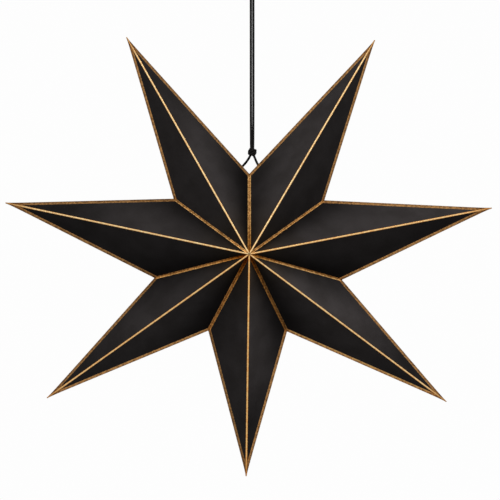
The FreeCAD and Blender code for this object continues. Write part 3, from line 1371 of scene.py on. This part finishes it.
@dataclass
class TiedKnot:
    """A knot drawn tight round the cord: a closed winding of each strand tied in it.

    At the angle u a winding stands off the knot's axis by reach + swell cos(3u/2 + p),
    and along the axis by rise sin(3u/2 + p). It closes after two rounds, so that it
    passes over and under itself three times, as a thumb knot does. The phase p is
    nothing for the first strand and a quarter turn for the second.
    """

    name: str
    cord: LaidCord
    centre: Array
    axis: Array
    reach: float
    swell: float
    rise: float
    strands: int = 1
    side: Point = (1.0, 0.0, 0.0)
    flatten: float = 0.85
    steps: int = 132

    def winding(self, phase: float) -> tuple[Array, Array]:
        """Work out a winding's middle line and a guide that points off the axis.

        Args:
            phase: The winding's phase.

        Returns:
            The points and the guide directions.
        """
        u = 2 * circle(self.steps)
        axis, side = unit(self.axis), np.array(self.side)
        side = unit(side - (side @ axis) * axis)
        other = np.cross(axis, side)
        off = self.reach + self.swell * np.cos(1.5 * u + phase)
        out = np.cos(u)[:, None] * side + self.flatten * np.sin(u)[:, None] * other
        up = self.rise * np.sin(1.5 * u + phase)
        path = self.centre + off[:, None] * out + up[:, None] * axis
        return path, unit(out + TINY)

    def build(self) -> list[bpy.types.Object]:
        """Make the meshes of the knot's windings, one for each strand."""
        windings = [self.winding(strand * np.pi / 2) for strand in range(self.strands)]
        return [
            self.cord.tube(f"{self.name}_{number}", *winding, closed=True)
            for number, winding in enumerate(windings, 1)
        ]


@dataclass
class HangingCord:
    """One length of cord from arm to arm, doubled, with its knots and hanging eye."""

    layout: StarLayout
    diameter: float = 0.0028
    length: float = 0.5477
    lay_length: float = 0.0075
    spacing: float = 0.0009
    guide: Point = (0.0, 1.0, 0.0)
    knot_tilt: float = 18.0
    stopper_depth: float = 0.0038
    route: tuple[Point, ...] = (
        (-0.02381, -0.00647, -0.25713),
        (-0.01960, -0.00210, -0.25010),
        (-0.01440, 0.00373, -0.24540),
        (-0.00880, 0.00584, -0.23970),
        (-0.00450, 0.00300, -0.23400),
        (-0.00060, -0.00080, -0.22660),
        (-0.00147, 0.00000, -0.21660),
        (-0.00144, 0.00000, -0.04210),
        (-0.00155, 0.00000, -0.02600),
        (-0.00950, 0.00000, -0.01196),
        (-0.00550, 0.00000, 0.00140),
        (0.00550, 0.00000, 0.00140),
        (0.00950, 0.00000, -0.01196),
        (0.00155, 0.00000, -0.02600),
        (0.00170, 0.00000, -0.04210),
        (0.00173, 0.00000, -0.21660),
        (0.00085, 0.00080, -0.22660),
        (0.00365, 0.00350, -0.23257),
        (0.00600, 0.00575, -0.23815),
        (0.00945, 0.00373, -0.24444),
        (0.01447, -0.00210, -0.24916),
        (0.01823, -0.00646, -0.25607),
    )

    def laid(self) -> LaidCord:
        """The cord's section."""
        return LaidCord(self.diameter, self.lay_length)

    def line(self) -> Array:
        """Read the cord's middle line from a smooth spline through the route.

        Returns:
            Points along the line, evenly spaced by its length.
        """
        curve = bpy.data.curves.new("cord_line", "CURVE")
        curve.dimensions = "3D"
        curve.resolution_u = 16
        spline = curve.splines.new("NURBS")
        spline.points.add(len(self.route) - 1)
        points = np.c_[np.array(self.route), np.ones(len(self.route))]
        spline.points.foreach_set("co", points.ravel())
        spline.order_u = 3
        spline.use_endpoint_u = True
        holder = bpy.data.objects.new("cord_line", curve)
        bpy.context.scene.collection.objects.link(holder)
        mesh = bpy.data.meshes.new_from_object(holder)
        found = read_all(mesh.vertices, "co", 3)
        bpy.data.objects.remove(holder)
        bpy.data.curves.remove(curve)
        bpy.data.meshes.remove(mesh)

        found = found[np.append(True, np.diff(run_along(found)) > TINY)]
        run = run_along(found)
        wanted = np.linspace(0, run[-1], int(run[-1] / self.spacing) + 1)
        return np.stack([np.interp(wanted, run, part) for part in found.T], axis=1)

    def knots(self) -> list[TiedKnot]:
        """The bridle knot, the eye knot and the two stopper knots."""
        tilt = math.radians(self.knot_tilt)
        slanted = np.array([math.sin(tilt), 0.0, math.cos(tilt)])
        laid = self.laid()
        made = [
            TiedKnot(
                "bridle_knot", laid, np.array([0.0003, 0.0, -0.2252]), slanted,
                0.0032, 0.0008, 0.0033, strands=2,
            ),
            TiedKnot(
                "eye_knot", laid, np.array([0.0, 0.0, -0.0260]), -slanted,
                0.0032, 0.0008, 0.0026, strands=2,
            ),
        ]
        tips = self.layout.tips()
        for side in ("left", "right"):
            hole, outward = self.layout.cord_hole(tips["arm_upper_" + side])
            inside = hole - outward * self.stopper_depth
            ends = self.layout.placed(np.stack([hole, inside]))
            made.append(TiedKnot(
                "stopper_knot_" + side, laid, ends[1], ends[0] - ends[1],
                0.0022, 0.0006, 0.0016,
            ))
        return made

    def build(self) -> tuple[bpy.types.Object, list[bpy.types.Object], Array]:
        """Make the cord and its knots.

        Returns:
            The cord's object, the knots' objects and the cord's middle line.
        """
        line = self.line()
        cord = self.laid().tube("hanging_cord", line, np.array(self.guide))
        return cord, [part for knot in self.knots() for part in knot.build()], line

    def dress(
        self, cord: bpy.types.Object, knots: list[bpy.types.Object], line: Array,
        finish: bpy.types.Material,
    ) -> None:
        """Finish the cord and its knots, put them on the star's body and hide the
        cord's part.

        Args:
            cord: The cord's object.
            knots: The knots' objects.
            line: The cord's middle line; not used.
            finish: The waxed cord finish.
        """
        for piece in [cord, *knots]:
            piece.data.materials.append(finish)
            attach(piece, BODY)
            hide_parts("hang_cord")
        hole, _ = self.layout.cord_hole(self.layout.tips()["arm_upper_left"])
        leaves = self.layout.placed(hole[None, :])[0]


# ---------------------------------------------------------------- the studio


@dataclass(frozen=True)
class Softbox:
    """One soft rectangular light, aimed at the star."""

    name: str
    place: Point
    watts: float
    size: tuple[float, float] = (2.6, 2.6)
    tint: Colour = (1.0, 0.985, 0.965)
    spread: float = 180.0
    aim: Point = (-0.0045, -0.02, -0.35)

    def hang(self) -> None:
        """Put the light in the scene, hidden from view and from reflections."""
        lamp = bpy.data.lights.new(self.name, "AREA")
        lamp.shape = "RECTANGLE"
        lamp.size, lamp.size_y = self.size
        lamp.energy = self.watts
        lamp.color = self.tint
        lamp.spread = math.radians(self.spread)
        holder = bpy.data.objects.new(self.name, lamp)
        holder.location = self.place
        holder.visible_camera = holder.visible_glossy = False
        way = Vector(self.aim) - Vector(self.place)
        holder.rotation_euler = way.to_track_quat("-Z", "Y").to_euler()
        bpy.context.scene.collection.objects.link(holder)


@dataclass(frozen=True)
class Studio:
    """A pale floor, an even white behind everything, soft lights and the camera."""

    floor_level: float = -1.75
    floor_radius: float = 3.4
    floor_sides: int = 96
    dome_radius: float = 16.0
    dome_rows: int = 33
    dome_sides: int = 64
    pole_angle: float = 0.02
    ambient: float = 0.47
    ambient_rise: float = 0.12
    air_colour: Colour = (1.0, 0.99, 0.98)
    camera_aim: Point = (-0.0026, -0.005, -0.3478)
    camera_distance: float = 2.5
    camera_azimuth: float = -0.72
    camera_elevation: float = 0.47
    frame_width: float = 0.625
    sensor_width: float = 36.0
    view_reach: float = 60.0
    softboxes: tuple[Softbox, ...] = (
        Softbox("key_softbox", (0.62, -3.2, 2.45), 330.0),
        Softbox("back_softbox", (-0.9, 3.2, 2.2), 230.0),
    )

    def build(self) -> None:
        """Make the floor, the white dome, the ambient light and the softboxes.

        The floor is a disc, radius times the cosine and sine of an angle. The dome is
        a sphere, radius times the sines and cosines of two angles, seen only directly.
        """
        turn = circle(self.floor_sides)
        disc = np.stack([np.cos(turn), np.sin(turn), 0 * turn], 1) * self.floor_radius
        disc[:, 2] = self.floor_level
        floor = make_mesh("studio_floor", disc, [range(self.floor_sides)])
        floor.data.materials.append(StudioFloor().make())

        tall = np.linspace(self.pole_angle, np.pi - self.pole_angle, self.dome_rows)
        tall, wide = tall[:, None], circle(self.dome_sides)[None, :]
        ball = np.stack(np.broadcast_arrays(
            np.sin(tall) * np.cos(wide), np.sin(tall) * np.sin(wide), np.cos(tall)
        ), -1).reshape(-1, 3) * self.dome_radius
        faces = capped_grid(self.dome_rows, self.dome_sides)
        dome = make_mesh("white_dome", ball, faces)
        dome.data.materials.append(WhiteGlow().make())
        for ray in ("diffuse", "glossy", "transmission", "volume_scatter", "shadow"):
            setattr(dome, "visible_" + ray, False)
        floor.visible_diffuse = floor.visible_glossy = False

        air = FinishTree("studio_air", bpy.data.worlds)
        *_, height = air.split(air.node("ShaderNodeTexCoord", out="Generated"))
        sky = air.node("ShaderNodeBackground", sockets={
            "Color": self.air_colour,
            "Strength": (height * self.ambient_rise + 1) * self.ambient,
        })
        bpy.context.scene.world = air.output(sky, "ShaderNodeOutputWorld")
        for softbox in self.softboxes:
            softbox.hang()

    def shoot(self) -> None:
        """Set up the camera, a little to the left of the star and a little above."""
        azimuth = math.radians(self.camera_azimuth)
        rise = math.radians(self.camera_elevation)
        back = Vector((
            math.sin(azimuth) * math.cos(rise),
            -math.cos(azimuth) * math.cos(rise),
            math.sin(rise),
        ))
        lens = bpy.data.cameras.new("studio_camera")
        lens.sensor_width = self.sensor_width
        lens.lens = self.sensor_width * self.camera_distance / self.frame_width
        lens.clip_end = self.view_reach
        camera = bpy.data.objects.new("studio_camera", lens)
        camera.location = Vector(self.camera_aim) + back * self.camera_distance
        camera.rotation_euler = (-back).to_track_quat("-Z", "Y").to_euler()
        scene = bpy.context.scene
        scene.collection.objects.link(camera)
        scene.camera = camera
        scene.view_settings.view_transform = "Standard"


def main() -> None:
    """Build the star, the cord and the studio, and note the sizes."""
    logging.basicConfig(level=logging.INFO, format="%(message)s")
    layout = StarLayout()
    printed, plain = PrintedCard().make(), PlainCard().make()

    tips, notches = layout.tips(), layout.notches()
    pairs = zip(notches, notches[1:] + notches[:1])
    for (name, tip), (before, after) in zip(tips.items(), pairs):
        arm = FoldedArm(
            name, tip, before, after, layout, layout.shading_and_prints[name],
            punched=name.startswith("arm_upper"),
        )
        thing = arm.build()
        arm.dress(thing, (printed, plain))
        low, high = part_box(name)
        corners = read_all(thing.data.vertices, "co", 3)
        gap = np.abs([corners.min(0) - low, corners.max(0) - high]).max() * 1000
        faces = len(thing.data.polygons)
        log.info("%s: %d faces, box within %.2f mm", thing.name, faces, gap)

    cord = HangingCord(layout)
    rope, knots, line = cord.build()
    cord.dress(rope, knots, line, WaxedCord().make())
    length = run_along(line)[-1] * 1000
    log.info("%s: %.1f mm long, %d knots", rope.name, length, len(knots))

    studio = Studio()
    studio.build()
    studio.shoot()
    log.info("studio: %d softboxes", len(studio.softboxes))


if __name__ == "__main__":
    main()
